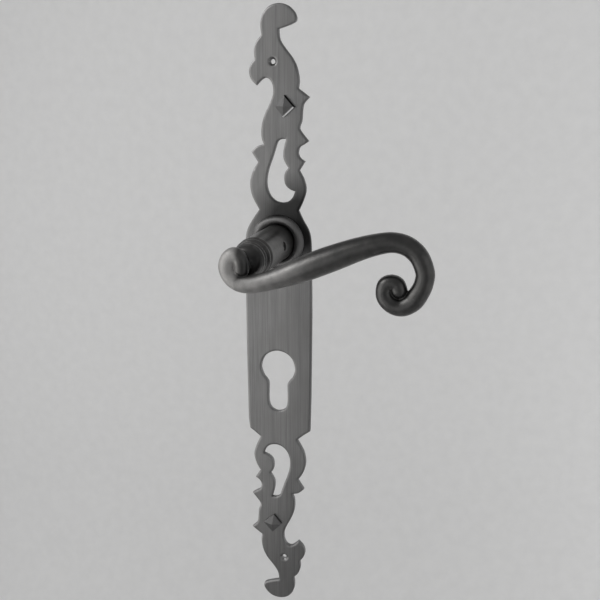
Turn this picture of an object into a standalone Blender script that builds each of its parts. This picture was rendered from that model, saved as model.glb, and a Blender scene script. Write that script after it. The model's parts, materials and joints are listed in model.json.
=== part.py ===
"""Door lever on a long ornamental backplate, in wrought-iron style.

World frame: metres, +Z up, +X along the lever, +Y into the door. The origin is the centre of the plate's
back face. Sizes below are in millimetres, and every mesh is scaled to metres when it becomes an object.
"""
import math

import bmesh
import bpy
from mathutils import Matrix, Vector
from mathutils.geometry import interpolate_bezier

MM = 0.001
GAP = 0.3                    # left between pieces that touch on the real object
OVERLAP = 0.4                # how far joined solids run into each other
CLEAR = 5.0                  # how far cutting solids reach past a surface

# Plate
PLATE_T = 2.4
HUB_X, HUB_Z = -0.45, 47.6   # the handle's axis
CYLINDER_Z = HUB_Z - 70.0    # centre of the lock cylinder's round part
CYLINDER_R = 9.6
CYLINDER_SLOT_HALF = 5.3
CYLINDER_FOOT_Z = -48.0
CYLINDER_SHOULDER = [        # across and down from the round's centre, in radii
    (0.85, 0.53), (0.67, 0.75), (0.573, 0.92), (0.552, 1.12),
]
SCREW_HOLE = (-3.0, 138.8)
SCREW_HOLE_R = 1.2
SCREW_SINK_R = 2.3
SEAT_BAND = (-11.0, 30.0)    # clear band of the plate's back, between lock opening and spring cup
FRONT = -PLATE_T             # Y of the plate's front face

# Handle's neck and bearing
BARREL_R = 9.4
JOURNAL_R = 7.0
BUSH_WALL = 0.8
BUSH_FLANGE_R = BARREL_R - GAP   # hidden behind the neck's shoulder
BUSH_END_Y = -0.1
SHOULDER_Y = FRONT - 2.5
JOURNAL_END_Y = 3.6
CLIP_Y = 1.7
CLIP_T = 0.8
CLIP_GROOVE_R = 6.1
CLIP_R = 8.2
CLIP_LUG_R = 9.0
CLIP_ENDS = (-70, 250)       # degrees above +X
CLIP_LUG_ANGLE = 12
WASHER_T = 0.8
BAR_Y = FRONT - 60.0         # plane of the bar's centreline

# Spindle and its grub screw
SPINDLE_HALF = 3.5
SPINDLE_FRONT_Y = -30.0
SPINDLE_BACK_Y = 26.0
GRUB_Y = -21.9
GRUB_ANGLE = 10.0            # degrees above +X
GRUB_R = 2.0
GRUB_OUTER_R = 8.5
GRUB_SOCKET_R = 1.1
GRUB_SOCKET_DEPTH = 2.0

# Collar on the front of the plate
COLLAR_R = 14.3
COLLAR_BORE_R = BARREL_R + GAP
COLLAR_H = 3.2
COLLAR_DOME = [              # in from the outer edge, and below the top
    (0.0, 2.6), (0.35, 1.7), (1.0, 0.75), (1.8, 0.15), (2.5, 0.0), (3.1, 0.2),
]
COLLAR_BORE_DROP = 1.0
SPIGOT_AT = 12.3
SPIGOT_R = 1.0
SPIGOT_HEAD_R = 1.6
SPIGOT_HEAD_T = 0.9
SPIGOT_HEAD_EDGE = 0.5

# Spring cup on the back of the plate
CUP_R = 10.4
CUP_WALL = 0.8
CUP_FLANGE_R = 14.6
CUP_FLANGE_T = 1.2
CUP_DEPTH = 10.2
CUP_HOLE_R = 6.7
CARRIER_Y = JOURNAL_END_Y + GAP
CARRIER_T = 1.2
CARRIER_R = 7.6
CARRIER_HUB_R = 6.2
CARRIER_END_Y = CUP_DEPTH + 0.6
LUG_R = 9.2
LUG_HALF_ANGLE = 12.0
SWING = 45.0                 # degrees that the handle turns
STOP_PLAY = 2.0              # degrees left at each stop
STOP_ANGLE = 14.0            # degrees that each stop takes up
SPRING_R = 7.6
SPRING_WIRE_R = 0.5
SPRING_TURNS = 2.25
SPRING_PITCH = 1.15
SPRING_FREE = 0.9            # from the carrier's disc to the first turn
SPRING_START = 60.0          # degrees above +X
SPRING_LEG = 1.14            # the leg's reach, in radii of the coil
SPRING_STEPS = 28            # points to a turn

SEGMENTS = 48                # sides of a turned piece
SMALL_SEGMENTS = 16
BAR_SIDES = 18

# One ornament of the plate, from the right-hand waist over the scroll's head to the left-hand waist.
# The other ornament is the same line turned half a turn. True marks a corner.
ORNAMENT = [
    (10.7, 64.3, True), (13.0, 69.3, False), (14.6, 75.2, False), (13.5, 80.4, False),
    (11.0, 85.0, True), (13.9, 89.7, True), (11.3, 91.6, False), (10.4, 94.2, False),
    (11.3, 96.9, False), (13.2, 98.1, False), (15.8, 99.9, True), (12.5, 103.8, False),
    (11.1, 106.3, False), (12.2, 110.2, False), (12.5, 115.0, False), (13.2, 118.4, False),
    (16.1, 121.6, True), (10.3, 125.8, True), (10.7, 129.6, False), (9.7, 135.4, False),
    (7.4, 140.2, False), (3.5, 145.1, False), (1.0, 148.8, False), (0.3, 151.6, False),
    (0.2, 154.3, True), (3.4, 155.3, False), (7.0, 156.6, False), (9.0, 157.9, False),
    (9.2, 159.9, False), (7.9, 162.5, False), (4.6, 165.3, False), (0.1, 166.3, False),
    (-4.4, 165.2, False), (-7.6, 162.2, False), (-9.1, 158.3, False), (-9.2, 154.5, False),
    (-8.8, 151.5, True), (-11.5, 148.3, False), (-12.7, 144.2, False), (-12.4, 140.1, True),
    (-14.5, 137.4, False), (-15.4, 133.8, False), (-14.4, 130.3, False), (-11.5, 127.3, True),
    (-9.0, 129.8, False), (-6.8, 131.0, False), (-4.5, 130.0, False), (-3.0, 126.9, False),
    (-3.0, 122.6, False), (-4.8, 118.0, False), (-7.1, 113.4, False), (-8.6, 109.0, False),
    (-9.2, 104.4, False), (-8.9, 100.8, False), (-7.9, 98.0, True), (-11.5, 96.8, False),
    (-14.5, 94.1, True), (-11.0, 88.9, True), (-13.9, 84.1, False), (-15.4, 78.0, False),
    (-14.4, 71.4, False), (-10.5, 64.3, True),
]
# Right-hand side of the middle, from the lower waist up to the upper one.
MIDDLE_RIGHT = [
    (14.5, -60.8, False), (17.8, -58.4, True), (17.9, -53.0, False), (18.1, -40.0, False),
    (18.2, -15.0, False), (18.2, 10.0, False), (17.8, 35.0, False), (17.4, 48.5, False),
    (16.2, 54.0, False), (13.0, 59.6, False),
]
# Left-hand side, from the upper waist down to the lower one.
MIDDLE_LEFT = [
    (-13.8, 59.6, False), (-17.0, 54.0, False), (-18.2, 48.5, False), (-18.3, 35.0, False),
    (-18.3, 10.0, False), (-18.2, -15.0, False), (-17.8, -40.0, False), (-17.6, -53.5, False),
    (-16.9, -59.6, True), (-14.3, -61.5, False),
]
TEARDROP = [
    (1.8, 68.3, False), (-1.7, 69.2, False), (-4.5, 71.8, False), (-6.1, 75.6, False),
    (-6.4, 79.4, False), (-5.9, 83.2, False), (-4.6, 87.6, False), (-3.0, 91.9, False),
    (-1.6, 96.2, False), (-0.3, 99.6, False), (1.6, 100.7, False), (4.0, 100.9, True),
    (3.1, 97.4, False), (2.5, 94.0, False), (2.7, 90.8, False), (3.9, 88.3, False),
    (5.2, 86.3, True), (3.6, 84.3, False), (3.0, 81.0, False), (3.6, 77.8, False),
    (5.8, 75.5, False), (8.8, 74.3, True), (7.5, 71.2, False), (5.1, 69.0, False),
]
DIAMOND = [(3.6, 122.7), (8.8, 116.9), (2.9, 111.6), (-1.6, 117.1)]
DIAMOND_APEX = (3.3, 117.0)
DIAMOND_RIM = 0.7
DIAMOND_H = 2.9
DIAMOND_PIN_R = 1.5

# Centreline of the bar, with its radius: the scroll on the neck, the grip and the curl at the tip.
BAR_PATH = [
    (-1.0, 45.2, 3.6), (-1.1, 48.1, 3.7), (-2.4, 50.6, 3.8), (-4.8, 51.4, 3.9), (-7.0, 49.8, 3.9),
    (-8.1, 46.8, 4.0), (-7.6, 43.6, 4.0), (-5.4, 40.5, 4.1), (-2.4, 38.7, 4.1), (0.9, 38.2, 4.2),
    (5.7, 38.8, 4.3), (11.5, 40.4, 4.5), (20.0, 43.5, 5.2), (28.0, 46.8, 5.9), (36.0, 50.3, 6.1),
    (44.0, 53.6, 5.9), (52.0, 56.8, 5.4), (60.0, 59.4, 4.9), (67.5, 60.8, 4.6), (74.0, 59.5, 4.5),
    (79.2, 55.2, 4.4), (82.1, 48.5, 4.3), (81.9, 44.0, 4.3), (80.8, 40.6, 4.4), (78.8, 37.0, 4.6),
    (76.9, 34.6, 4.5), (73.8, 32.6, 4.3), (70.7, 32.2, 4.1), (67.6, 33.5, 4.0), (65.2, 36.1, 3.9),
    (64.6, 39.1, 3.8), (65.4, 41.9, 3.8), (67.8, 42.9, 3.8), (70.1, 42.2, 3.8), (71.2, 39.8, 3.8),
]
# Turned front of the neck: radius, and distance in front of the plate.
NECK_BEADS = [
    (9.4, 42.3), (8.9, 42.8), (8.4, 43.3), (8.5, 43.9), (8.95, 44.5), (9.15, 45.5), (8.9, 46.4),
    (8.1, 47.1), (7.8, 47.8), (8.2, 48.5), (8.5, 49.4), (8.3, 50.2), (8.0, 50.8), (8.1, 51.5),
    (8.3, 52.5), (7.9, 53.6), (7.4, 54.9), (6.2, 56.3), (3.8, 57.4), (3.0, 58.4), (0.0, 60.0),
]

COLOURS = {                  # base colour, roughness, metallic
    "dark_iron": ((0.040, 0.040, 0.038), 0.38, 0.9),
    "plate_iron": ((0.130, 0.130, 0.125), 0.42, 0.9),
    "nylon": ((0.04, 0.04, 0.04), 0.55, 0.0),
    "zinc_steel": ((0.50, 0.51, 0.52), 0.35, 1.0),
    "spring_steel": ((0.30, 0.30, 0.31), 0.30, 1.0),
}


def clear_scene():
    """Remove every object of the open file."""
    for old in list(bpy.data.objects):
        bpy.data.objects.remove(old)


def make_material(name):
    """Make one Principled BSDF material from COLOURS."""
    colour, roughness, metallic = COLOURS[name]
    material = bpy.data.materials.new(name)
    material.use_nodes = True
    shader = material.node_tree.nodes["Principled BSDF"]
    shader.inputs["Base Color"].default_value = (*colour, 1.0)
    shader.inputs["Roughness"].default_value = roughness
    shader.inputs["Metallic"].default_value = metallic
    material.diffuse_color = (*colour, 1.0)
    return material


def add_object(name, shape, material=None, parent=None):
    """Turn a bmesh in millimetres into an object in metres, standing at its parent's place."""
    bmesh.ops.scale(shape, vec=Vector((MM, MM, MM)), verts=shape.verts)
    bmesh.ops.recalc_face_normals(shape, faces=shape.faces)
    mesh = bpy.data.meshes.new(name)
    shape.to_mesh(mesh)
    shape.free()
    if material:
        mesh.materials.append(material)
    obj = bpy.data.objects.new(name, mesh)
    obj.parent = parent
    bpy.context.scene.collection.objects.link(obj)
    return obj


def boolean(target, shape, operation, self_crossing=False):
    """Cut a bmesh out of an object's mesh, or join it on, with the exact solver."""
    tool = add_object("tool", shape, parent=target.parent)
    modifier = target.modifiers.new("boolean", "BOOLEAN")
    modifier.operation = operation
    modifier.solver = "EXACT"
    modifier.use_self = self_crossing
    modifier.object = tool
    bpy.context.view_layer.update()
    graph = bpy.context.evaluated_depsgraph_get()
    result = bpy.data.meshes.new_from_object(target.evaluated_get(graph))
    target.modifiers.clear()
    target.data = result
    bpy.data.objects.remove(tool)


def split_faces(obj, level):
    """Split a mesh's faces along a horizontal line, without changing its shape."""
    shape = bmesh.new()
    shape.from_mesh(obj.data)
    geom = shape.verts[:] + shape.edges[:] + shape.faces[:]
    bmesh.ops.bisect_plane(shape, geom=geom, plane_co=(0, 0, level * MM), plane_no=(0, 0, 1))
    shape.to_mesh(obj.data)
    shape.free()


def shade_round(obj, angle=35.0):
    """Shade a round piece smooth, with its real edges kept sharp."""
    obj.data.shade_smooth()
    obj.data.set_sharp_from_angle(angle=math.radians(angle))


def merged(*shapes):
    """Gather several bmeshes in one."""
    whole = bmesh.new()
    for shape in shapes:
        mesh = bpy.data.meshes.new("piece")
        shape.to_mesh(mesh)
        shape.free()
        whole.from_mesh(mesh)
        bpy.data.meshes.remove(mesh)
    return whole


def smooth_outline(points, steps=4):
    """Closed line through points (x, z, is_corner): round between corners, straight ends at them."""
    line = []
    count = len(points)
    for i, (x, z, corner) in enumerate(points):
        here = Vector((x, z))
        before = Vector(points[i - 1][:2])
        after = Vector(points[(i + 1) % count][:2])
        beyond = Vector(points[(i + 2) % count][:2])
        reach = (after - here).length / 3
        leave = (after - here) if corner else (after - before)
        arrive = (after - here) if points[(i + 1) % count][2] else (beyond - here)
        knots = (here, here + leave.normalized() * reach, after - arrive.normalized() * reach, after)
        line += interpolate_bezier(*knots, steps + 1)[:-1]
    return [(point.x, point.y) for point in line]


def half_turn(points):
    """The same points turned half a turn about the plate's centre."""
    return [(-x, -z, *rest) for x, z, *rest in points]


def prism(outline, y_front, y_back):
    """Solid of a closed outline in X and Z, between two depths."""
    shape = bmesh.new()
    face = shape.faces.new([shape.verts.new((x, y_front, z)) for x, z in outline])
    grown = bmesh.ops.extrude_face_region(shape, geom=[face])
    moved = [item for item in grown["geom"] if isinstance(item, bmesh.types.BMVert)]
    bmesh.ops.translate(shape, verts=moved, vec=(0, y_back - y_front, 0))
    return shape


def turned(profile, x=0.0, z=0.0, segments=SEGMENTS):
    """Solid turned about the Y line through (x, z), from a profile of (radius, y) in order.

    A profile that starts and ends on the axis makes a solid piece; any other is closed into a ring.
    """
    shape = bmesh.new()
    verts = [shape.verts.new((radius, y, 0)) for radius, y in profile]
    pairs = list(zip(verts, verts[1:]))
    if profile[0][0] > 0:
        pairs.append((verts[-1], verts[0]))
    edges = [shape.edges.new(pair) for pair in pairs]
    bmesh.ops.spin(shape, geom=verts + edges, cent=(0, 0, 0), axis=(0, 1, 0), angle=2 * math.pi,
                   steps=segments, use_merge=True)
    bmesh.ops.remove_doubles(shape, verts=shape.verts, dist=1e-4)
    bmesh.ops.translate(shape, verts=shape.verts, vec=(x, 0, z))
    return shape


def cylinder(radius, y_front, y_back, x=0.0, z=0.0, segments=SEGMENTS):
    """Plain round solid along Y."""
    return turned([(0, y_front), (radius, y_front), (radius, y_back), (0, y_back)], x, z, segments)


def block(half, y_front, y_back):
    """Square bar along Y, centred on the axis."""
    return prism([(-half, -half), (half, -half), (half, half), (-half, half)], y_front, y_back)


def sector(inner, outer, start, end, y_front, y_back, steps=8):
    """Part of a ring between two angles, in degrees from +X towards +Z."""
    angles = [math.radians(start + (end - start) * i / steps) for i in range(steps + 1)]
    line = [(outer * math.cos(a), outer * math.sin(a)) for a in angles]
    line += [(inner * math.cos(a), inner * math.sin(a)) for a in reversed(angles)]
    return prism(line, y_front, y_back)


def open_curve(points, steps):
    """Points of a smooth open line through (x, z, radius), with steps points to a stretch."""
    ends = [points[0], *points, points[-1]]
    line = []
    for before, here, after, beyond in zip(ends, ends[1:], ends[2:], ends[3:]):
        for i in range(steps):
            t = i / steps
            line.append([0.5 * (2 * b + (c - a) * t + (2 * a - 5 * b + 4 * c - d) * t * t
                                + (3 * b - a - 3 * c + d) * t ** 3)
                         for a, b, c, d in zip(before, here, after, beyond)])
    line.append(list(points[-1]))
    return line


def swept_bar(points, y, sides, steps=4, cap_rings=4):
    """Round bar with domed ends along a line of (x, z, radius) in the plane at y."""
    line = open_curve(points, steps)
    rings = []
    for i, (x, z, radius) in enumerate(line):
        before = line[max(i - 1, 0)]
        after = line[min(i + 1, len(line) - 1)]
        along = Vector((after[0] - before[0], 0, after[1] - before[1])).normalized()
        rings.append((Vector((x, y, z)), along, radius))
    nose, tail = [], []
    for k in range(1, cap_rings):
        angle = 0.5 * math.pi * k / cap_rings
        for cap, (centre, along, radius), way in ((nose, rings[0], -1), (tail, rings[-1], 1)):
            moved = centre + along * (way * radius * math.sin(angle))
            cap.append((moved, along, radius * math.cos(angle)))
    rings = nose[::-1] + rings + tail
    shape = bmesh.new()
    loops = []
    for centre, along, radius in rings:
        side = along.cross(Vector((0, 1, 0)))
        turns = [2 * math.pi * j / sides for j in range(sides)]
        loops.append([shape.verts.new(centre + radius * (math.cos(a) * side + Vector((0, math.sin(a), 0))))
                      for a in turns])
    for low, high in zip(loops, loops[1:]):
        for j in range(sides):
            shape.faces.new((low[j], low[j - 1], high[j - 1], high[j]))
    shape.faces.new(loops[0])
    shape.faces.new(reversed(loops[-1]))
    return shape


def plate_outline():
    """The plate's whole contour."""
    return smooth_outline(ORNAMENT + MIDDLE_LEFT + half_turn(ORNAMENT) + MIDDLE_RIGHT)


def cylinder_outline():
    """Lock cylinder's opening: a round with a round-ended slot below, and soft shoulders."""
    r, slot, foot = CYLINDER_R, CYLINDER_SLOT_HALF, CYLINDER_FOOT_Z
    x, z = HUB_X, CYLINDER_Z
    diagonal = math.sqrt(0.5)
    half = [(0.0, z + r), (diagonal * r, z + diagonal * r), (r, z)]
    half += [(across * r, z - down * r) for across, down in CYLINDER_SHOULDER]
    half += [(slot, foot + slot), (diagonal * slot, foot + (1 - diagonal) * slot)]
    right = [(x + dx, level, False) for dx, level in half]
    left = [(x - dx, level, False) for dx, level in reversed(half[1:])]
    return smooth_outline(right + [(x, foot, False)] + left)


def make_backplate(material):
    """Ornamental plate with its two tear-shaped windows, lock opening, hub hole and fixing holes."""
    outside = (FRONT - CLEAR, CLEAR)
    cutters = [prism(cylinder_outline(), *outside),
               cylinder(JOURNAL_R + BUSH_WALL + 2 * GAP, *outside, HUB_X, HUB_Z)]
    for side in (-1, 1):
        cutters.append(cylinder(SPIGOT_R + GAP, *outside, HUB_X + side * SPIGOT_AT, HUB_Z,
                                SMALL_SEGMENTS))
    for turn in (1, -1):
        x, z = turn * SCREW_HOLE[0], turn * SCREW_HOLE[1]
        sink = SCREW_SINK_R - SCREW_HOLE_R
        cone = [(0, FRONT - 1), (SCREW_SINK_R + 1, FRONT - 1), (SCREW_HOLE_R, FRONT + sink),
                (SCREW_HOLE_R, CLEAR), (0, CLEAR)]
        cutters.append(turned(cone, x, z, SEGMENTS // 2))
        apex_x, apex_z = DIAMOND_APEX
        pin_hole = cylinder(DIAMOND_PIN_R + GAP, *outside, turn * apex_x, turn * apex_z, SMALL_SEGMENTS)
        cutters.append(pin_hole)
        outline = TEARDROP if turn == 1 else half_turn(TEARDROP)
        cutters.append(prism(smooth_outline(outline), *outside))
    plate = add_object("backplate", prism(plate_outline(), FRONT, 0), material)
    boolean(plate, merged(*cutters), "DIFFERENCE")
    for level in SEAT_BAND:
        split_faces(plate, level)


def make_diamond_stud(name, turn, material):
    """Four-sided pointed stud with a short pin in the plate."""
    front = FRONT - GAP
    shape = bmesh.new()
    back = [shape.verts.new((turn * x, front, turn * z)) for x, z in DIAMOND]
    rim = [shape.verts.new((turn * x, front - DIAMOND_RIM, turn * z)) for x, z in DIAMOND]
    apex = shape.verts.new((turn * DIAMOND_APEX[0], front - DIAMOND_H, turn * DIAMOND_APEX[1]))
    shape.faces.new(back)
    for i in range(4):
        shape.faces.new((back[i - 1], back[i], rim[i], rim[i - 1]))
        shape.faces.new((rim[i - 1], rim[i], apex))
    stud = add_object(name, shape, material)
    pin_x, pin_z = turn * DIAMOND_APEX[0], turn * DIAMOND_APEX[1]
    pin = cylinder(DIAMOND_PIN_R, front - OVERLAP, -GAP, pin_x, pin_z, SMALL_SEGMENTS)
    boolean(stud, pin, "UNION")


def make_collar(hub, material):
    """Domed ring round the neck, with two spigots peened over behind the spring cup."""
    back = FRONT - GAP
    top = FRONT - COLLAR_H - GAP
    profile = [(COLLAR_BORE_R, back), (COLLAR_R, back)]
    profile += [(COLLAR_R - inward, top + drop) for inward, drop in COLLAR_DOME]
    profile.append((COLLAR_BORE_R, top + COLLAR_BORE_DROP))
    collar = add_object("neck_collar", turned(profile), material, hub)
    head = CUP_FLANGE_T + 2 * GAP
    for side in (-1, 1):
        spigot = [(0, back - 2 * OVERLAP), (SPIGOT_R, back - 2 * OVERLAP), (SPIGOT_R, head),
                  (SPIGOT_HEAD_R, head), (SPIGOT_HEAD_R, head + SPIGOT_HEAD_EDGE),
                  (SPIGOT_R, head + SPIGOT_HEAD_T), (0, head + SPIGOT_HEAD_T)]
        boolean(collar, turned(spigot, side * SPIGOT_AT, 0, SMALL_SEGMENTS), "UNION")
    shade_round(collar)


def make_bush(hub, material):
    """Flanged bearing bush between the neck's journal and the plate."""
    bore = JOURNAL_R + GAP
    flange_back = FRONT - GAP
    profile = [(bore, SHOULDER_Y + GAP), (BUSH_FLANGE_R, SHOULDER_Y + GAP),
               (BUSH_FLANGE_R, flange_back), (bore + BUSH_WALL, flange_back),
               (bore + BUSH_WALL, BUSH_END_Y), (bore, BUSH_END_Y)]
    shade_round(add_object("bearing_bush", turned(profile), material, hub))


def make_washer(hub, material):
    """Thrust washer on the plate's back."""
    bore = JOURNAL_R + GAP
    outer = CUP_R - CUP_WALL - GAP
    profile = [(bore, GAP), (outer, GAP), (outer, GAP + WASHER_T), (bore, GAP + WASHER_T)]
    shade_round(add_object("thrust_washer", turned(profile), material, hub))


def make_circlip(hub, material):
    """Open ring that holds the neck in the plate, with a lug at each end."""
    inner = CLIP_GROOVE_R + GAP
    first, last = CLIP_ENDS
    ring = sector(inner, CLIP_R, first, last, CLIP_Y, CLIP_Y + CLIP_T, 30)
    clip = add_object("circlip", ring, material, hub)
    for start in (first, last - CLIP_LUG_ANGLE):
        lug = sector(CLIP_R - OVERLAP, CLIP_LUG_R, start, start + CLIP_LUG_ANGLE, CLIP_Y, CLIP_Y + CLIP_T, 3)
        boolean(clip, lug, "UNION")


def make_spring_cup(hub, material):
    """Flanged cup on the plate's back, with two ribs inside that stop the carrier's lug."""
    inner = CUP_R - CUP_WALL
    floor_y = CUP_DEPTH - CUP_WALL
    profile = [(inner, GAP), (CUP_FLANGE_R, GAP), (CUP_FLANGE_R, GAP + CUP_FLANGE_T),
               (CUP_R, GAP + CUP_FLANGE_T), (CUP_R, CUP_DEPTH), (CUP_HOLE_R, CUP_DEPTH),
               (CUP_HOLE_R, floor_y), (inner, floor_y)]
    cup = add_object("spring_cup", turned(profile), material, hub)
    rest = 90 + LUG_HALF_ANGLE + STOP_PLAY
    turned_end = 90 - LUG_HALF_ANGLE - SWING - STOP_PLAY
    for start in (rest, turned_end - STOP_ANGLE):
        stop = sector(CARRIER_R + GAP, inner + OVERLAP, start, start + STOP_ANGLE, CARRIER_Y,
                      CARRIER_Y + CARRIER_T)
        boolean(cup, stop, "UNION")
    for side in (-1, 1):
        hole = cylinder(SPIGOT_R + GAP, -CLEAR, CLEAR, side * SPIGOT_AT, 0, SMALL_SEGMENTS)
        boolean(cup, hole, "DIFFERENCE")
    shade_round(cup)


def make_carrier(pivot, material):
    """Spring carrier that turns with the square spindle, with the lug that meets the stops."""
    back = CARRIER_Y + CARRIER_T
    profile = [(0, CARRIER_Y), (CARRIER_R, CARRIER_Y), (CARRIER_R, back), (CARRIER_HUB_R, back),
               (CARRIER_HUB_R, CARRIER_END_Y), (0, CARRIER_END_Y)]
    carrier = add_object("spring_carrier", turned(profile), material, pivot)
    lug = sector(CARRIER_R - 2 * OVERLAP, LUG_R, 90 - LUG_HALF_ANGLE, 90 + LUG_HALF_ANGLE, CARRIER_Y, back)
    boolean(carrier, lug, "UNION")
    boolean(carrier, block(SPINDLE_HALF + GAP, CARRIER_Y - CLEAR, CARRIER_END_Y + CLEAR), "DIFFERENCE")
    shade_round(carrier)


def make_spring(hub, material):
    """Torsion spring round the carrier's hub, with a leg at each end."""
    start_y = CARRIER_Y + CARRIER_T + SPRING_FREE
    count = round(SPRING_TURNS * SPRING_STEPS)
    coil = []
    for i in range(count + 1):
        angle = math.radians(SPRING_START) + 2 * math.pi * i / SPRING_STEPS
        y = start_y + SPRING_PITCH * i / SPRING_STEPS
        coil.append(Vector((SPRING_R * math.cos(angle), y, SPRING_R * math.sin(angle))))
    legs = [Vector((end.x * SPRING_LEG, end.y, end.z * SPRING_LEG)) for end in (coil[0], coil[-1])]
    curve = bpy.data.curves.new("return_spring", "CURVE")
    curve.dimensions = "3D"
    curve.bevel_depth = SPRING_WIRE_R * MM
    curve.bevel_resolution = 2
    curve.use_fill_caps = True
    spline = curve.splines.new("POLY")
    route = [legs[0], *coil, legs[1]]
    spline.points.add(len(route) - 1)
    for point, place in zip(spline.points, route):
        point.co = (*(place * MM), 1.0)
    curve.materials.append(material)
    spring = bpy.data.objects.new("return_spring", curve)
    spring.parent = hub
    bpy.context.scene.collection.objects.link(spring)


def radial(shape, angle, y):
    """Lay a solid made along Y on a radius of the neck, at an angle above +X."""
    stand = Matrix.Rotation(math.radians(-90), 4, "Z")
    tilt = Matrix.Rotation(math.radians(-angle), 4, "Y")
    bmesh.ops.transform(shape, matrix=Matrix.Translation((0, y, 0)) @ tilt @ stand, verts=shape.verts)
    return shape


def make_lever(pivot, material):
    """Handle in one forging: journal, turned neck, scroll, grip and curled tip."""
    groove_back = CLIP_Y + CLIP_T + GAP
    groove_front = CLIP_Y - GAP
    profile = [(0, JOURNAL_END_Y), (JOURNAL_R, JOURNAL_END_Y), (JOURNAL_R, groove_back),
               (CLIP_GROOVE_R, groove_back), (CLIP_GROOVE_R, groove_front), (JOURNAL_R, groove_front),
               (JOURNAL_R, SHOULDER_Y), (BARREL_R, SHOULDER_Y)]
    profile += [(radius, FRONT - reach) for radius, reach in NECK_BEADS]
    lever = add_object("lever_handle", turned(profile), material, pivot)
    path = [(x - HUB_X, z - HUB_Z, radius) for x, z, radius in BAR_PATH]
    boolean(lever, swept_bar(path, BAR_Y, BAR_SIDES), "UNION", self_crossing=True)
    boolean(lever, block(SPINDLE_HALF + GAP, SPINDLE_FRONT_Y - GAP, JOURNAL_END_Y + CLEAR), "DIFFERENCE")
    drill = cylinder(GRUB_R + GAP, SPINDLE_HALF - 1, BARREL_R + CLEAR, segments=20)
    grub_hole = radial(drill, GRUB_ANGLE, GRUB_Y)
    boolean(lever, grub_hole, "DIFFERENCE")
    shade_round(lever, 50)


def make_grub_screw(pivot, material):
    """Headless screw with a hexagon socket that clamps the spindle."""
    tilt = math.radians(GRUB_ANGLE)
    tip = (SPINDLE_HALF + GAP + GRUB_R * math.sin(tilt)) / math.cos(tilt)
    body = cylinder(GRUB_R, tip, GRUB_OUTER_R, segments=20)
    screw = add_object("grub_screw", radial(body, GRUB_ANGLE, GRUB_Y), material, pivot)
    socket = cylinder(GRUB_SOCKET_R, GRUB_OUTER_R - GRUB_SOCKET_DEPTH, GRUB_OUTER_R + CLEAR, segments=6)
    boolean(screw, radial(socket, GRUB_ANGLE, GRUB_Y), "DIFFERENCE")
    shade_round(screw)


def make_spindle(pivot, material):
    """Square spindle that drives the lock's follower."""
    add_object("square_spindle", block(SPINDLE_HALF, SPINDLE_FRONT_Y, SPINDLE_BACK_Y), material, pivot)


def make_axis(name):
    """Empty on the handle's axis, at the plane of the plate's back."""
    empty = bpy.data.objects.new(name, None)
    empty.location = (HUB_X * MM, 0, HUB_Z * MM)
    bpy.context.scene.collection.objects.link(empty)
    return empty


def main():
    """Build the whole handle set."""
    clear_scene()
    paint = {name: make_material(name) for name in COLOURS}
    hub = make_axis("hub")
    pivot = make_axis("lever_pivot")
    make_backplate(paint["plate_iron"])
    make_diamond_stud("diamond_stud_upper", 1, paint["plate_iron"])
    make_diamond_stud("diamond_stud_lower", -1, paint["plate_iron"])
    make_collar(hub, paint["plate_iron"])
    make_bush(hub, paint["nylon"])
    make_washer(hub, paint["zinc_steel"])
    make_spring_cup(hub, paint["zinc_steel"])
    make_spring(hub, paint["spring_steel"])
    make_lever(pivot, paint["dark_iron"])
    make_grub_screw(pivot, paint["spring_steel"])
    make_spindle(pivot, paint["zinc_steel"])
    make_circlip(pivot, paint["spring_steel"])
    make_carrier(pivot, paint["zinc_steel"])


main()
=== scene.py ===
"""Looks of the door lever handle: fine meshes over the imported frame, materials, light and camera."""
import json
import math

import bmesh
import bpy
import numpy as np
from mathutils import Matrix, Vector
from mathutils.geometry import delaunay_2d_cdt


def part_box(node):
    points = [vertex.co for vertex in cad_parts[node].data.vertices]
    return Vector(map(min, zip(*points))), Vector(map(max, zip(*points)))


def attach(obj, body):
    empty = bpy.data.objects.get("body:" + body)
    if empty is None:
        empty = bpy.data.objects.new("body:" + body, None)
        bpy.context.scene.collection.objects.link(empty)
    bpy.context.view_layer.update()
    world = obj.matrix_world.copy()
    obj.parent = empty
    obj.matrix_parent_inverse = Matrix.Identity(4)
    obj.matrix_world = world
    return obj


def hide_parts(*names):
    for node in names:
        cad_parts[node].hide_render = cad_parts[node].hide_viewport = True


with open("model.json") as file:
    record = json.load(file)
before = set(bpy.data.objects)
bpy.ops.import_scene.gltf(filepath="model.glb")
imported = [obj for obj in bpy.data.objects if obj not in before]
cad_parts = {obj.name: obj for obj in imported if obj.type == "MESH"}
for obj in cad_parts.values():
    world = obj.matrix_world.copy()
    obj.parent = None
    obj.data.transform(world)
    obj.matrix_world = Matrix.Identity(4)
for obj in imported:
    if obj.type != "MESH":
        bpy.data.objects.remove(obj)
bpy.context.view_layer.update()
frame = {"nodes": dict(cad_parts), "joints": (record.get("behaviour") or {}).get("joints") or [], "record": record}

MM = 0.001
HUB = Vector(frame["joints"][0]["pos_m"])
PLATE_LOW, PLATE_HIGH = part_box("backplate")
FRONT = PLATE_LOW[1]                       # Y of the plate's front face
BACK = PLATE_HIGH[1]


# ---------------------------------------------------------------------------------------- materials

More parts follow.
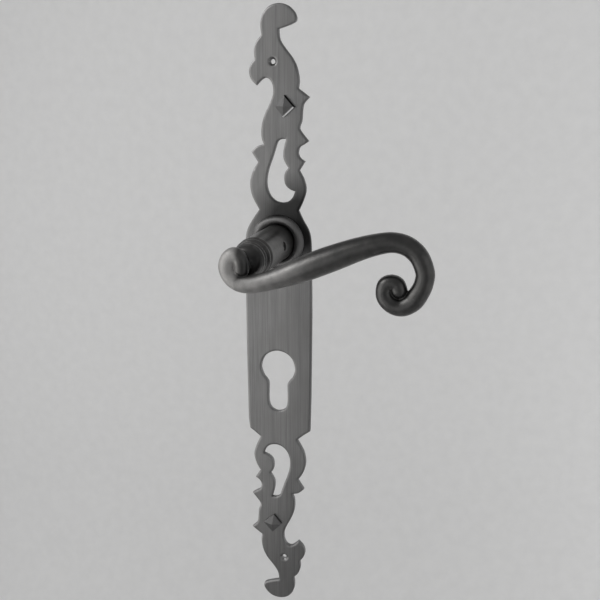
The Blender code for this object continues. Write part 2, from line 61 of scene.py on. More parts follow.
class Nodes:
    """Short way to add shader nodes and links to a material."""

    def __init__(self, name):
        self.material = bpy.data.materials.new(name)
        self.material.use_nodes = True
        self.tree = self.material.node_tree
        self.shader = self.tree.nodes["Principled BSDF"]

    def add(self, kind, inputs=(), **settings):
        """Add one node, with its settings, and with values or links for its inputs."""
        node = self.tree.nodes.new(kind)
        for key, value in settings.items():
            setattr(node, key, value)
        for key, value in dict(inputs).items():
            self.feed(node.inputs[key], value)
        return node

    def feed(self, socket, value):
        """Set a socket's value, or link it to an output."""
        if isinstance(value, bpy.types.NodeSocket):
            self.tree.links.new(value, socket)
        else:
            socket.default_value = value

    def place(self, scale):
        """Object coordinates stretched by a scale for each axis."""
        coords = self.add("ShaderNodeTexCoord")
        return self.add("ShaderNodeMapping", {"Vector": coords.outputs["Object"], "Scale": scale}).outputs[0]

    def noise(self, scale, detail=3.0, rough=0.5, warp=0.0):
        """Noise of about the given features per metre on each axis."""
        return self.add("ShaderNodeTexNoise", {
            "Vector": self.place(scale), "Scale": 1.0, "Detail": detail, "Roughness": rough,
            "Distortion": warp}).outputs["Fac"]

    def span(self, value, low, high, start=0.3, end=0.7):
        """Map a value from start..end to low..high."""
        return self.add("ShaderNodeMapRange", {
            "Value": value, "From Min": start, "From Max": end, "To Min": low, "To Max": high}).outputs[0]

    def math(self, operation, first, second):
        """Math node of two values."""
        node = self.add("ShaderNodeMath", operation=operation)
        self.feed(node.inputs[0], first)
        self.feed(node.inputs[1], second)
        return node.outputs[0]

    def mix(self, factor, first, second, blend="MIX"):
        """Mix two colours."""
        node = self.add("ShaderNodeMix", data_type="RGBA", blend_type=blend)
        self.feed(node.inputs["Factor"], factor)
        self.feed(node.inputs["A"], first)
        self.feed(node.inputs["B"], second)
        return node.outputs["Result"]

    def distance(self, first, second):
        """Distance between two points."""
        node = self.add("ShaderNodeVectorMath", operation="DISTANCE")
        self.feed(node.inputs[0], first)
        self.feed(node.inputs[1], second)
        return node.outputs["Value"]

    def axes(self, point):
        """A point's coordinates, as outputs by name."""
        return self.add("ShaderNodeSeparateXYZ", {"Vector": point}).outputs

    def pointiness(self):
        """About 0.5 on flat surfaces, more on edges and less in hollows."""
        return self.add("ShaderNodeNewGeometry").outputs["Pointiness"]

    def bump(self, height, distance, strength=1.0, normal=None):
        """Bump from a height of 0..1 that stands for distance in metres."""
        inputs = {"Height": height, "Distance": distance, "Strength": strength}
        if normal:
            inputs["Normal"] = normal
        return self.add("ShaderNodeBump", inputs).outputs[0]

    def finish(self, **sockets):
        """Feed the shader's sockets, named with underscores for spaces."""
        for key, value in sockets.items():
            self.feed(self.shader.inputs[key.replace("_", " ")], value)
        return self.material


SAME = (1, 1, 1)              # object coordinates as they are, in metres


def grey(value, warm=1.0):
    """Nearly neutral colour."""
    return (value * warm, value, value * (2 - warm), 1.0)


NECK_SHADOW_AT = (HUB.x + 9 * MM, FRONT, HUB.z + 10 * MM)   # centre of the painted shadow of the neck and lever on the plate
NECK_SHADOW_INNER, NECK_SHADOW_OUTER = 12 * MM, 27 * MM


STUD_RIM_HIGHLIGHT = ((2.9, 111.6), (8.8, 116.9))     # rims of the upper stud for a painted highlight and a painted shadow, (x, z) in mm
STUD_RIM_SHADOW = ((8.8, 116.9), (3.6, 122.7))


def edge_mask(n, start, end, width):
    """1 in the outer band of a stud's face, along the rim from one point (x, z) to another, in mm."""
    along = (Vector(end) - Vector(start)).normalized()
    out = Vector((along.y, -along.x))
    place = n.axes(n.place((1 / MM, 1 / MM, 1 / MM)))
    reach = n.math("ADD", n.math("MULTIPLY", place["X"], out.x), n.math("MULTIPLY", place["Z"], out.y))
    edge = Vector(start).dot(out)
    return n.span(reach, 0.0, 1.0, edge - width, edge - 0.6 * width)


def plate_material(name, shade, painted_shade, rougher=0.0, highlight_rim=None, shadow_rim=None):
    """Dark cast plate, brushed up and down, with lighter worn edges; optionally painted shade darker towards the
    right with a painted shadow round the hub, and a painted highlight and a painted shadow along two rims.
    """
    n = Nodes(name)
    streak = n.noise((2600, 900, 26), detail=4, rough=0.62)
    band = n.noise((420, 200, 7), detail=2, rough=0.5)
    cloud = n.noise((95, 95, 60), detail=3)
    tone = n.mix(n.span(streak, 0, 1, 0.34, 0.66), grey(0.155 * shade), grey(0.27 * shade))
    tone = n.mix(n.span(band, 0, 0.55), tone, grey(0.28 * shade, 1.01))
    tone = n.mix(n.span(cloud, 0, 0.35), tone, grey(0.16 * shade, 1.02))
    tone = n.mix(n.span(n.pointiness(), 0, 0.6, 0.51, 0.58), tone, grey(0.38 * shade))
    if painted_shade:
        spot = n.place(SAME)
        place = n.axes(spot)
        # painted shade: the plate darker towards the right, away from the key light
        tone = n.mix(n.span(place["X"], 0.0, 0.32, -4 * MM, 18 * MM), tone, grey(0.09))
        # painted shadow: the plate near black round the hub, above and right of it, where the neck and lever shade
        # it
        near = n.span(n.distance(spot, NECK_SHADOW_AT), 0.88, 0.0, NECK_SHADOW_INNER, NECK_SHADOW_OUTER)
        front = n.span(place["Y"], 1.0, 0.0, FRONT + 0.8 * MM, FRONT + 1.6 * MM)
        tone = n.mix(n.math("MULTIPLY", front, near), tone, grey(0.02))
    if highlight_rim:
        # painted highlight: near-white band along the stud's lower right rim, where its edge catches the light
        tone = n.mix(edge_mask(n, *highlight_rim, 0.75), tone, grey(0.95))
    if shadow_rim:
        # painted shadow: near-black band along the stud's upper right rim
        tone = n.mix(edge_mask(n, *shadow_rim, 0.8), tone, grey(0.01))
    rough = n.span(streak, 0.30 + rougher, 0.42 + rougher, 0.3, 0.7)
    normal = n.bump(streak, 0.00006, 0.6)
    normal = n.bump(cloud, 0.00025, 0.5, normal)
    return n.finish(Base_Color=tone, Metallic=1.0, Roughness=rough, Normal=normal, Anisotropic=0.75)


SCROLL_SHADOW_SCALE = (1.0, 0.6, 1.0)
SCROLL_SHADOW_AT = (HUB.x + 6 * MM, (FRONT - 54.6 * MM) * SCROLL_SHADOW_SCALE[1], HUB.z - 2.6 * MM)   # centre of the painted shadow beside the scroll
SCROLL_SHADOW_INNER, SCROLL_SHADOW_OUTER = 5.8 * MM, 10.5 * MM
GRIP_SLOPE = 0.38            # rise of the grip's edge along X, for the patch of wear and painted light


def lever_material():
    """Near-black forged iron, lighter at the scroll and grip from rubbed wear and painted light, with painted
    shade in the hollows, beside the scroll and towards the tip.
    """
    n = Nodes("lever_iron_satin")
    grain = n.noise((1500, 1500, 1500), detail=4, rough=0.6)
    rubbed = n.noise((240, 240, 240), detail=3)
    cloud = n.noise((70, 70, 70), detail=2)
    tone = n.mix(n.span(rubbed, 0, 1), grey(0.080, 1.01), grey(0.135, 1.03))
    tone = n.mix(n.span(cloud, 0, 0.4), tone, grey(0.065))
    pointed = n.pointiness()
    tone = n.mix(n.span(pointed, 0, 0.4, 0.56, 0.68), tone, grey(0.30, 1.01))
    place = n.axes(n.place(SAME))
    forward = n.span(place["Y"], 1.0, 0.0, -61 * MM, -58 * MM)
    # painted shade: the bar darker towards the tip, further from the key light on the left
    tone = n.mix(n.span(place["X"], 0.0, 0.38, 22 * MM, 60 * MM), tone, grey(0.03))
    # wear and painted light: the front of the scroll and grip lighter and rougher, partly rubbed by hands, partly
    # standing in for the near key light from the left
    scroll = n.span(place["X"], 1.0, 0.0, -4.2 * MM, -2 * MM)
    level = n.math("SUBTRACT", place["Z"], n.math("MULTIPLY", place["X"], GRIP_SLOPE))
    grip = n.math("MULTIPLY", n.span(level, 0.7, 0.0, 41.2 * MM, 42.5 * MM),
                  n.span(place["X"], 1.0, 0.0, 0.0, 32 * MM))
    wear_and_painted_light = n.math("MULTIPLY", n.math("MAXIMUM", scroll, grip), forward)
    wear_and_painted_light = n.math("MULTIPLY", wear_and_painted_light, n.span(rubbed, 0.7, 1.0))
    tone = n.mix(wear_and_painted_light, tone, grey(0.43, 1.015))
    # painted shade: near black in hollows and creases, where shade falls
    tone = n.mix(n.span(pointed, 0.9, 0.0, 0.40, 0.49), tone, grey(0.02))
    # painted shadow: near black beside the scroll, on the thumb's right and the neck's front, where they lie in
    # shade
    reach = n.distance(n.place(SCROLL_SHADOW_SCALE), SCROLL_SHADOW_AT)
    scroll_shadow = n.math("MULTIPLY", n.span(reach, 0.92, 0.0, SCROLL_SHADOW_INNER, SCROLL_SHADOW_OUTER),
                  n.span(level, 0.0, 1.0, 40.5 * MM, 43.5 * MM))
    tone = n.mix(scroll_shadow, tone, grey(0.02))
    rough = n.math("ADD", n.span(grain, 0.30, 0.42), n.math("MULTIPLY", wear_and_painted_light, 0.36))
    normal = n.bump(grain, 0.00003, 0.6)
    normal = n.bump(rubbed, 0.00010, 0.6, normal)
    return n.finish(Base_Color=tone, Metallic=1.0, Roughness=rough, Normal=normal, Coat_Weight=0.3,
                    Coat_Roughness=0.35)


def steel_material(name, dark, light, low, high, scale):
    """Plain steel with fine turning marks and slight stains."""
    n = Nodes(name)
    mark = n.noise(scale, detail=3, rough=0.6)
    stain = n.noise((180, 180, 180), detail=3)
    tone = n.mix(n.span(mark, 0, 1), grey(dark), grey(light))
    tone = n.mix(n.span(stain, 0, 0.35), tone, grey(dark * 0.8, 1.02))
    return n.finish(Base_Color=tone, Metallic=1.0, Roughness=n.span(mark, low, high),
                    Normal=n.bump(mark, 0.00003, 0.5))


def nylon_material():
    """Black nylon, slightly uneven."""
    n = Nodes("nylon_black")
    mottle = n.noise((500, 500, 500), detail=3)
    tone = n.mix(n.span(mottle, 0, 1), (0.030, 0.030, 0.030, 1), (0.050, 0.050, 0.048, 1))
    return n.finish(Base_Color=tone, Roughness=n.span(mottle, 0.45, 0.6), Normal=n.bump(mottle, 0.00005, 0.4))


def backdrop_material():
    """Matt pale studio paper."""
    n = Nodes("studio_paper")
    fibre = n.noise((60, 60, 60), detail=2)
    tone = n.mix(n.span(fibre, 0, 1), grey(0.70), grey(0.73))
    return n.finish(Base_Color=tone, Roughness=0.9)


# ------------------------------------------------------------------------------------------- meshes

def mesh_object(name, shape, material, smooth_angle=None):
    """Object from a bmesh, with outward normals."""
    bmesh.ops.recalc_face_normals(shape, faces=shape.faces)
    mesh = bpy.data.meshes.new(name)
    shape.to_mesh(mesh)
    shape.free()
    mesh.materials.append(material)
    if smooth_angle is not None:
        mesh.shade_smooth()
        mesh.set_sharp_from_angle(angle=math.radians(smooth_angle))
    obj = bpy.data.objects.new(name, mesh)
    bpy.context.scene.collection.objects.link(obj)
    return obj


def place_piece(obj, body, slot, *nodes):
    """Say which body a piece rides on and which CAD nodes it replaces; the slot is not used."""
    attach(obj, body)
    if nodes:
        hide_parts(*nodes)


def apply_modifiers(obj):
    """Replace an object's mesh by what its modifiers make of it."""
    bpy.context.view_layer.update()
    graph = bpy.context.evaluated_depsgraph_get()
    result = bpy.data.meshes.new_from_object(obj.evaluated_get(graph))
    obj.modifiers.clear()
    obj.data = result


def face_loops(node, level):
    """Closed outlines (x, z) of a CAD node's flat face at one Y."""
    mesh = frame["nodes"][node].data
    spots = [(round(v.co.x, 7), round(v.co.z, 7)) for v in mesh.vertices]
    counts = {}
    for poly in mesh.polygons:
        if abs(poly.normal.y) > 0.99 and abs(poly.center.y - level) < 1e-5:
            for i, j in poly.edge_keys:
                key = tuple(sorted((spots[i], spots[j])))
                counts[key] = counts.get(key, 0) + 1
    joined = {}
    for (here, there), count in counts.items():
        if count == 1:
            joined.setdefault(here, []).append(there)
            joined.setdefault(there, []).append(here)
    loops = []
    while joined:
        here = next(iter(joined))
        loop = []
        while here in joined:
            loop.append(here)
            here = next((spot for spot in joined.pop(here) if spot in joined), None)
        loops.append(np.array(loop))
    return loops


def resample(loop, gap):
    """Split long edges of a closed loop so that no stretch is over gap."""
    out = []
    for here, after in zip(loop, np.roll(loop, -1, axis=0)):
        parts = max(1, math.ceil(np.linalg.norm(after - here) / gap))
        out += [here + (after - here) * k / parts for k in range(parts)]
    return np.array(out)


def edge_distance(points, loops):
    """Distance from each point to the nearest of the loops' edges."""
    best = np.full(len(points), 1e9)
    for loop in loops:
        a, b = loop, np.roll(loop, -1, axis=0)
        span = b - a
        length2 = np.maximum((span ** 2).sum(1), 1e-18)
        for k in range(0, len(points), 2000):
            p = points[k:k + 2000]
            rel = p[:, None] - a[None]
            t = np.clip((rel * span).sum(2) / length2, 0, 1)
            gap = np.sqrt(((rel - t[..., None] * span) ** 2).sum(2)).min(1)
            best[k:k + 2000] = np.minimum(best[k:k + 2000], gap)
    return best


def inside(points, loop):
    """Which points lie inside a closed loop."""
    x, z = points[:, 0][:, None], points[:, 1][:, None]
    ax, az = loop[:, 0], loop[:, 1]
    bx, bz = np.roll(ax, -1), np.roll(az, -1)
    crosses = (az > z) != (bz > z)
    with np.errstate(divide="ignore", invalid="ignore"):
        cut = ax + (z - az) / (bz - az) * (bx - ax)
    return (crosses & (x < cut)).sum(1) % 2 == 1


def in_plate(points, loops):
    """Which points lie on the plate's material: inside the largest loop and in none of the others."""
    outer, holes = loops[0], loops[1:]
    keep = inside(points, outer)
    for hole in holes:
        keep &= ~inside(points, hole)
    return keep


def circle(x, z, radius, count):
    """Closed loop round a centre."""
    turn = np.arange(count) * 2 * math.pi / count
    return np.stack([x + radius * np.cos(turn), z + radius * np.sin(turn)], 1)


# -------------------------------------------------------------------------------------------- plate

EDGE_GAP = 0.7 * MM          # length of the plate's edges
RIM_ROWS = (0.10, 0.28, 0.55, 0.90, 1.25, 1.6)   # mm from an edge to each row of points
SINK_ROWS = (1.7, 2.2, 2.4, 3.0)                 # mm from a fixing hole's centre
SMALL_LOOP = 20 * MM         # holes smaller than this keep sharp edges
ENDS_FROM = 120 * MM         # the fixing holes lie beyond this height
ROUND_WIDTH = 1.15 * MM      # how far in from the edge the front starts to fall
ROUND_DEPTH = 0.55 * MM
SINK_R = 2.3 * MM
SINK_HOLE_R = 1.2 * MM


def edge_fall(distance):
    """How far behind the front face the surface lies at a distance from a rounded edge."""
    t = np.clip(1 - distance / ROUND_WIDTH, 0, 1)
    return ROUND_DEPTH * (1 - np.sqrt(np.maximum(1 - t ** 2, 0)))


def build_plate(material):
    """Cast plate with a flat back and a front that rounds over at every free edge."""
    loops = sorted(face_loops("backplate", FRONT), key=lambda l: -np.ptp(l[:, 1]))
    edges = [resample(loop, EDGE_GAP) for loop in loops if np.ptp(loop[:, 1]) > SMALL_LOOP]
    sinks, cut = [], []
    for loop in loops:
        centre = 0.5 * (loop.max(0) + loop.min(0))
        if np.ptp(loop[:, 1]) < SMALL_LOOP and abs(centre[1]) > ENDS_FROM:
            sinks.append(centre)
            cut.append(circle(*centre, SINK_HOLE_R, 40))
        else:
            cut.append(resample(loop, EDGE_GAP))

    extra = []
    for depth in RIM_ROWS:
        for loop in edges:
            along = np.roll(loop, -1, axis=0) - np.roll(loop, 1, axis=0)
            across = np.stack([-along[:, 1], along[:, 0]], 1)
            across /= np.linalg.norm(across, axis=1)[:, None]
            for side in (-1, 1):
                extra.append(loop + side * across * depth * MM)
    for centre in sinks:
        for radius in SINK_ROWS:
            extra.append(circle(*centre, radius * MM, 40))
    step = 1.6 * MM
    xs = np.arange(PLATE_LOW[0], PLATE_HIGH[0], step)
    zs = np.arange(PLATE_LOW[2], PLATE_HIGH[2], step)
    grid = np.stack(np.meshgrid(xs, zs), -1).reshape(-1, 2)
    grid = grid[edge_distance(grid, edges) > 1.9 * MM]
    for centre in sinks:
        grid = grid[np.linalg.norm(grid - centre, axis=1) > 3.6 * MM]
    extra.append(grid)
    extra = np.concatenate(extra)
    extra = extra[in_plate(extra, cut)]
    extra = extra[edge_distance(extra, cut) > 0.085 * MM]
    _, order = np.unique(np.round(extra / (0.12 * MM)).astype(int), axis=0, return_index=True)
    extra = extra[np.sort(order)]

    points, rims = [], []
    for loop in cut:
        start = len(points)
        points += [tuple(p) for p in loop]
        rims += [(start + i, start + (i + 1) % len(loop)) for i in range(len(loop))]
    points += [tuple(p) for p in extra]
    flat, _, faces, *_ = delaunay_2d_cdt([Vector(p) / MM for p in points], rims, [], 0, 1e-6)
    flat = np.array([(v.x, v.y) for v in flat]) * MM
    faces = np.array(faces)
    faces = faces[in_plate(flat[faces].mean(1), cut)]

    fall = edge_fall(edge_distance(flat, edges))
    for centre in sinks:
        reach = np.linalg.norm(flat - centre, axis=1)
        fall = np.maximum(fall, np.clip(SINK_R - reach, 0, None))
    shape = bmesh.new()
    front = [shape.verts.new((x, FRONT + drop, z)) for (x, z), drop in zip(flat, fall)]
    back = [shape.verts.new((x, BACK, z)) for x, z in flat]
    sides = {}
    for tri in faces:
        shape.faces.new([front[i] for i in tri])
        shape.faces.new([back[i] for i in reversed(tri)])
        for i, j in zip(tri, np.roll(tri, -1)):
            sides[(int(i), int(j))] = True
    for i, j in sides:
        if (j, i) not in sides:
            shape.faces.new((front[j], front[i], back[i], back[j]))
    loose = [v for v in shape.verts if not v.link_faces]
    bmesh.ops.delete(shape, geom=loose, context="VERTS")
    plate = mesh_object("plate_cast", shape, material, 40)
    place_piece(plate, "plate", "plate_iron", "backplate")


def build_stud(node, material):
    """Pointed stud: the CAD solid with softened edges."""
    stud = bpy.data.objects.new(node + "_fine", frame["nodes"][node].data.copy())
    bpy.context.scene.collection.objects.link(stud)
    stud.data.materials.clear()
    stud.data.materials.append(material)
    bevel = stud.modifiers.new("bevel", "BEVEL")
    bevel.width = 0.22 * MM
    bevel.segments = 3
    bevel.limit_method = "ANGLE"
    bevel.angle_limit = math.radians(20)
    bevel.harden_normals = True
    apply_modifiers(stud)
    stud.data.shade_smooth()
    stud.data.set_sharp_from_angle(angle=math.radians(30))
    place_piece(stud, "plate", "plate_iron", node)


# -------------------------------------------------------------------------------------------- lever

# Centreline of the bar (x, z, radius), as in the CAD model.
BAR_PATH = [
    (-1.0, 45.2, 3.6), (-1.1, 48.1, 3.7), (-2.4, 50.6, 3.8), (-4.8, 51.4, 3.9), (-7.0, 49.8, 3.9),
    (-8.1, 46.8, 4.0), (-7.6, 43.6, 4.0), (-5.4, 40.5, 4.1), (-2.4, 38.7, 4.1), (0.9, 38.2, 4.2),
    (5.7, 38.8, 4.3), (11.5, 40.4, 4.5), (20.0, 43.5, 5.2), (28.0, 46.8, 5.9), (36.0, 50.3, 6.1),
    (44.0, 53.6, 5.9), (52.0, 56.8, 5.4), (60.0, 59.4, 4.9), (67.5, 60.8, 4.6), (74.0, 59.5, 4.5),
    (79.2, 55.2, 4.4), (82.1, 48.5, 4.3), (81.9, 44.0, 4.3), (80.8, 40.6, 4.4), (78.8, 37.0, 4.6),
    (76.9, 34.6, 4.5), (73.8, 32.6, 4.3), (70.7, 32.2, 4.1), (67.6, 33.5, 4.0), (65.2, 36.1, 3.9),
    (64.6, 39.1, 3.8), (65.4, 41.9, 3.8), (67.8, 42.9, 3.8), (70.1, 42.2, 3.8), (71.2, 39.8, 3.8),
]
# Turned neck: radius and distance in front of the plate.
NECK = [
    (9.4, 2.5), (9.4, 42.3), (8.9, 42.8), (8.4, 43.3), (8.5, 43.9), (8.95, 44.5), (9.15, 45.5),
    (8.9, 46.4), (8.1, 47.1), (7.8, 47.8), (8.2, 48.5), (8.5, 49.4), (8.3, 50.2), (8.0, 50.8),
    (8.1, 51.5), (8.3, 52.5), (7.9, 53.6), (7.4, 54.9), (6.2, 56.3), (3.8, 57.4), (3.0, 58.4),
    (0.0, 60.0),
]
JOURNAL = [(0.0, -6.0), (7.0, -6.0), (7.0, -5.2), (6.1, -5.2), (6.1, -3.8), (7.0, -3.8), (7.0, 2.5)]
BAR_Y = FRONT / MM - 60.0
SPINDLE_HOLE = (3.8, -30.3, 10.0)   # half width, front and back
GRUB_HOLE_R = 2.3
GRUB_HOLE_DEPTH = 12.0
GRUB_HOLE_AT = 8.5 * MM      # from the axis to the hole's middle
NECK_SIDES = 128
BAR_TRIM = 0.982             # keeps the fine bar inside the CAD bar's box
VOXEL = 0.26 * MM


def turned(profile, sides, ring=False):
    """Bmesh turned about the hub's axis, from (radius, y) in mm: closed on the axis, or a ring."""
    shape = bmesh.new()
    verts = [shape.verts.new((radius, y, 0)) for radius, y in profile]
    after = verts[1:] + verts[:1] if ring else verts[1:]
    edges = [shape.edges.new(pair) for pair in zip(verts, after)]
    bmesh.ops.spin(shape, geom=verts + edges, cent=(0, 0, 0), axis=(0, 1, 0), angle=2 * math.pi,
                   steps=sides, use_merge=True)
    bmesh.ops.remove_doubles(shape, verts=shape.verts, dist=1e-4)
    bmesh.ops.recalc_face_normals(shape, faces=shape.faces)
    return shape


def catmull(points, steps):
    """Smooth open line through points of any dimension."""
    ends = [points[0], *points, points[-1]]
    line = []
    for before, here, after, beyond in zip(ends, ends[1:], ends[2:], ends[3:]):
        for i in range(steps):
            t = i / steps
            line.append([0.5 * (2 * b + (c - a) * t + (2 * a - 5 * b + 4 * c - d) * t * t
                                + (3 * b - a - 3 * c + d) * t ** 3)
                         for a, b, c, d in zip(before, here, after, beyond)])
    line.append(list(points[-1]))
    return line


def swept_bar(points, y, sides, steps, cap_rings=8):
    """Round bar with domed ends along (x, z, radius) in the plane at y, in millimetres."""
    line = catmull(points, steps)
    rings = []
    for i, (x, z, radius) in enumerate(line):
        before = line[max(i - 1, 0)]
        after = line[min(i + 1, len(line) - 1)]
        along = Vector((after[0] - before[0], 0, after[1] - before[1])).normalized()
        rings.append((Vector((x, y, z)), along, radius))
    nose, tail = [], []
    for k in range(1, cap_rings):
        angle = 0.5 * math.pi * k / cap_rings
        for cap, (centre, along, radius), way in ((nose, rings[0], -1), (tail, rings[-1], 1)):
            moved = centre + along * (way * radius * math.sin(angle))
            cap.append((moved, along, radius * math.cos(angle)))
    rings = nose[::-1] + rings + tail
    shape = bmesh.new()
    loops = []
    for centre, along, radius in rings:
        side = along.cross(Vector((0, 1, 0)))
        turns = [2 * math.pi * j / sides for j in range(sides)]
        loops.append([shape.verts.new(centre + radius * (math.cos(a) * side + Vector((0, math.sin(a), 0))))
                      for a in turns])
    for low, high in zip(loops, loops[1:]):
        for j in range(sides):
            shape.faces.new((low[j], low[j - 1], high[j - 1], high[j]))
    shape.faces.new(loops[0])
    shape.faces.new(reversed(loops[-1]))
    bmesh.ops.recalc_face_normals(shape, faces=shape.faces)
    return shape


def box_shape(half, low, high):
    """Square bar along Y, in millimetres."""
    shape = bmesh.new()
    bmesh.ops.create_cube(shape, size=1.0)
    bmesh.ops.scale(shape, vec=(2 * half, high - low, 2 * half), verts=shape.verts)
    bmesh.ops.translate(shape, vec=(0, 0.5 * (low + high), 0), verts=shape.verts)
    return shape


def to_world(shape, centre):
    """Scale a bmesh from millimetres and set it round a centre."""
    bmesh.ops.scale(shape, vec=(MM, MM, MM), verts=shape.verts)
    bmesh.ops.translate(shape, vec=centre, verts=shape.verts)
    return shape


def cut_away(target, shape):
    """Exact Boolean difference on an object."""
    tool = mesh_object("tool", shape, target.data.materials[0])
    modifier = target.modifiers.new("cut", "BOOLEAN")
    modifier.operation = "DIFFERENCE"
    modifier.solver = "EXACT"
    modifier.object = tool
    apply_modifiers(target)
    bpy.data.objects.remove(tool)


def build_lever(material):
    """Forged lever: turned neck and coiled bar, melted into one skin."""
    grub_low, grub_high = (Vector(c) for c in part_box("grub_screw"))
    grub = (grub_low + grub_high) / 2
    out = Vector((grub.x - HUB.x, 0, grub.z - HUB.z)).normalized()
    profile = [(radius, FRONT / MM - reach) for radius, reach in JOURNAL + NECK]
    plain = len(JOURNAL) + 1
    smooth = profile[:plain] + [tuple(p) for p in catmull(profile[plain:], 4)]
    neck = mesh_object("lever_forged", to_world(turned(smooth, NECK_SIDES), HUB), material)
    cut_away(neck, to_world(box_shape(*SPINDLE_HOLE), HUB))
    hole = bmesh.new()
    bmesh.ops.create_cone(hole, cap_ends=True, segments=48, radius1=GRUB_HOLE_R, radius2=GRUB_HOLE_R,
                          depth=GRUB_HOLE_DEPTH)
    bmesh.ops.transform(hole, matrix=out.to_track_quat("Z", "Y").to_matrix().to_4x4(), verts=hole.verts)
    cut_away(neck, to_world(hole, Vector((HUB.x, grub.y, HUB.z)) + out * GRUB_HOLE_AT))
    path = [(x, z, radius * BAR_TRIM) for x, z, radius in BAR_PATH]
    bar = swept_bar(path, BAR_Y, 56, 12)
    bmesh.ops.scale(bar, vec=(MM, MM, MM), verts=bar.verts)
    bar.from_mesh(neck.data)
    bar.to_mesh(neck.data)
    bar.free()
    remesh = neck.modifiers.new("melt", "REMESH")
    remesh.mode = "VOXEL"
    remesh.voxel_size = VOXEL
    relax = neck.modifiers.new("relax", "SMOOTH")
    relax.factor = 0.5
    relax.iterations = 6
    apply_modifiers(neck)
    neck.data.shade_smooth()
    neck.data.materials.clear()
    neck.data.materials.append(material)
    place_piece(neck, "lever", "dark_iron", "lever_handle")


# ------------------------------------------------------------------------------------------- collar

# Section of the collar: radius and distance in front of its back, in millimetres.
COLLAR_BASE = [(9.7, 0.0), (14.3, 0.0)]
COLLAR_DOME = [(14.3, 0.6), (13.95, 1.5), (13.3, 2.4), (12.4, 3.0), (11.6, 3.2), (10.6, 2.9), (9.7, 2.2)]
COLLAR_GAP = 0.3
# Section of a spigot, with its peened head: radius and Y.
SPIGOT = [(0, 3.0), (0.7, 3.0), (1.3, 2.7), (1.6, 2.2), (1.55, 1.8), (1.0, 1.8), (1.0, -3.5), (0, -3.5)]
SPIGOT_AT = 12.3
COLLAR_SIDES = 128


def build_collar(material):
    """Domed ring round the neck, with its two spigots through the plate and spring cup."""
    back = FRONT / MM - COLLAR_GAP
    section = COLLAR_BASE + [tuple(p) for p in catmull(COLLAR_DOME, 5)]
    shape = turned([(radius, back - reach) for radius, reach in section], COLLAR_SIDES, ring=True)
    for side in (-1, 1):
        spigot = turned(SPIGOT, 24)
        bmesh.ops.translate(spigot, vec=(side * SPIGOT_AT, 0, 0), verts=spigot.verts)
        mesh = bpy.data.meshes.new("spigot")
        spigot.to_mesh(mesh)
        spigot.free()
        shape.from_mesh(mesh)
        bpy.data.meshes.remove(mesh)
    collar = mesh_object("collar_turned", to_world(shape, HUB), material, 40)
    place_piece(collar, "plate", "plate_iron", "neck_collar")


# -------------------------------------------------------------------------------- camera and studio

LENS, SENSOR = 47.58, 36.0   # mm
AZIMUTH, ELEVATION, ROLL = 13.787, 14.285, 0.288
CAMERA_AT = Vector((0.1095, -0.3980 + FRONT, 0.1211))


def set_camera():
    """Camera at the photograph's place, looking along the fitted direction."""
    a, e, r = (math.radians(v) for v in (AZIMUTH, ELEVATION, ROLL))
    back = Vector((math.sin(a) * math.cos(e), -math.cos(a) * math.cos(e), math.sin(e)))
    right = Vector((math.cos(a), math.sin(a), 0))
    up = back.cross(right)
    right, up = right * math.cos(r) + up * math.sin(r), up * math.cos(r) - right * math.sin(r)
    data = bpy.data.cameras.new("camera")
    data.sensor_width = SENSOR
    data.lens = LENS
    data.clip_start = 0.01
    camera = bpy.data.objects.new("camera", data)
    camera.matrix_world = Matrix((right, up, back)).transposed().to_4x4()
    camera.location = CAMERA_AT
    bpy.context.scene.collection.objects.link(camera)
    bpy.context.scene.camera = camera


WHITE = (1.0, 1.0, 1.0)
WARM = (1.0, 0.99, 0.975)
AIM = (0.02, -0.03, 0.0)
OBJECT_LIGHTS = [            # name, place, size, watts and colour
    ("key_left", (-0.62, -0.42, 0.02), (0.75, 1.4), 4.4, WARM),
    ("key_top_left", (-0.62, -0.35, 0.55), (0.5, 0.4), 1.6, WHITE),
    ("front_left", (-0.30, -1.20, -0.15), (0.5, 1.1), 0.9, WHITE),
    ("fill_right", (0.85, -0.20, -0.10), (1.2, 1.2), 1.8, WHITE),
]
PAPER_LIGHTS = [             # name, place, tilt, size and watts
    ("wash_left", (-0.85, 0.1, -0.25), 0.0, (0.4, 1.3), 1.3),
    ("wash_right", (0.85, 0.1, -0.25), 0.0, (0.4, 1.3), 3.1),
    ("wash_top", (0.1, 0.25, 0.85), -0.33, (1.4, 0.4), 1.05),
]
SURROUND = 0.30              # brightness of what the paper doesn't cover
PAPER_FLOOR_Z, PAPER_WALL_Y, PAPER_BEND = -1.0, 0.75, 0.5
PAPER_FRONT_Y, PAPER_TOP_Z, PAPER_HALF = -2.5, 2.2, 6.0
BEND_STEPS = 12


def area_light(name, place, target, size, power, colour):
    """Soft rectangular light aimed at a point."""
    data = bpy.data.lights.new(name, "AREA")
    data.shape = "RECTANGLE"
    data.size, data.size_y = size
    data.energy = power
    data.color = colour
    light = bpy.data.objects.new(name, data)
    light.location = place
    light.rotation_euler = (Vector(target) - Vector(place)).to_track_quat("-Z", "Y").to_euler()
    bpy.context.scene.collection.objects.link(light)


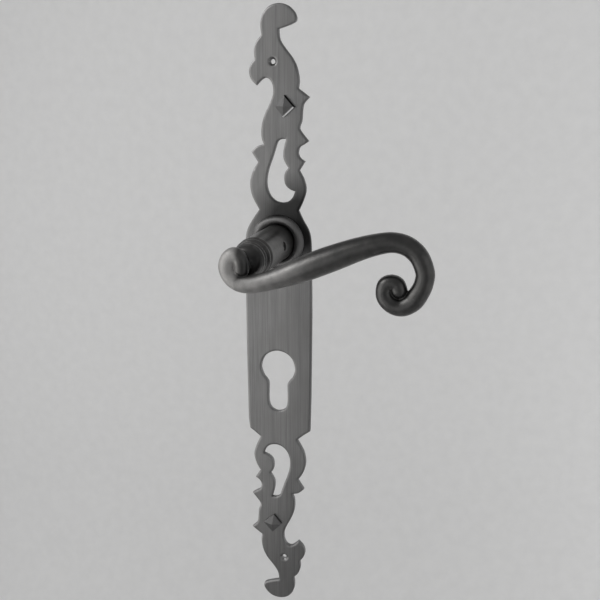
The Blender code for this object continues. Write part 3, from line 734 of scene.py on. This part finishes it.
def build_studio():
    """Pale sweep of paper, soft lights and a dim surround."""
    bend_y = PAPER_WALL_Y - PAPER_BEND
    profile = [(PAPER_FRONT_Y, PAPER_FLOOR_Z), (bend_y, PAPER_FLOOR_Z)]
    for k in range(1, BEND_STEPS + 1):
        t = math.pi / 2 * k / BEND_STEPS
        profile.append((bend_y + PAPER_BEND * math.sin(t), PAPER_FLOOR_Z + PAPER_BEND * (1 - math.cos(t))))
    profile.append((PAPER_WALL_Y, PAPER_TOP_Z))
    shape = bmesh.new()
    rows = [[shape.verts.new((x, y, z)) for y, z in profile] for x in (-PAPER_HALF, PAPER_HALF)]
    for i in range(len(profile) - 1):
        shape.faces.new((rows[0][i], rows[1][i], rows[1][i + 1], rows[0][i + 1]))
    sweep = mesh_object("studio_sweep", shape, backdrop_material(), 60)
    for name, place, size, power, colour in OBJECT_LIGHTS:
        area_light(name, place, AIM, size, power, colour)
    for name, place, tilt, size, power in PAPER_LIGHTS:
        area_light(name, place, Vector(place) + Vector((0, 1, tilt)), size, power, WHITE)
    world = bpy.data.worlds.new("studio")
    world.use_nodes = True
    background = world.node_tree.nodes["Background"]
    background.inputs["Color"].default_value = grey(SURROUND)
    bpy.context.scene.world = world
    bpy.context.scene.view_settings.view_transform = "Standard"


def main():
    """Dress the frame, light it and set the camera."""
    iron = plate_material("plate_iron_brushed", 1.0, True)
    stud_iron = plate_material("stud_iron_brushed", 0.6, False, 0.25)
    upper_iron = plate_material("upper_stud_iron_brushed", 0.6, False, 0.25, STUD_RIM_HIGHLIGHT, STUD_RIM_SHADOW)
    collar_iron = plate_material("collar_iron_brushed", 0.8, False, 0.15)
    dark = lever_material()
    zinc = steel_material("zinc_plated", 0.42, 0.56, 0.30, 0.45, (900, 300, 900))
    spring = steel_material("spring_steel_oiled", 0.20, 0.32, 0.25, 0.40, (1500, 1500, 1500))
    nylon = nylon_material()
    build_plate(iron)
    build_stud("diamond_stud_upper", upper_iron)
    build_stud("diamond_stud_lower", stud_iron)
    build_collar(collar_iron)
    build_lever(dark)
    finishes = {"zinc_steel": zinc, "spring_steel": spring, "nylon": nylon}
    for entry in frame["record"]["subparts"]:
        if entry["material_slot"] in finishes:
            frame["nodes"][entry["node"]].material_slots[0].material = finishes[entry["material_slot"]]
    build_studio()
    set_camera()


main()
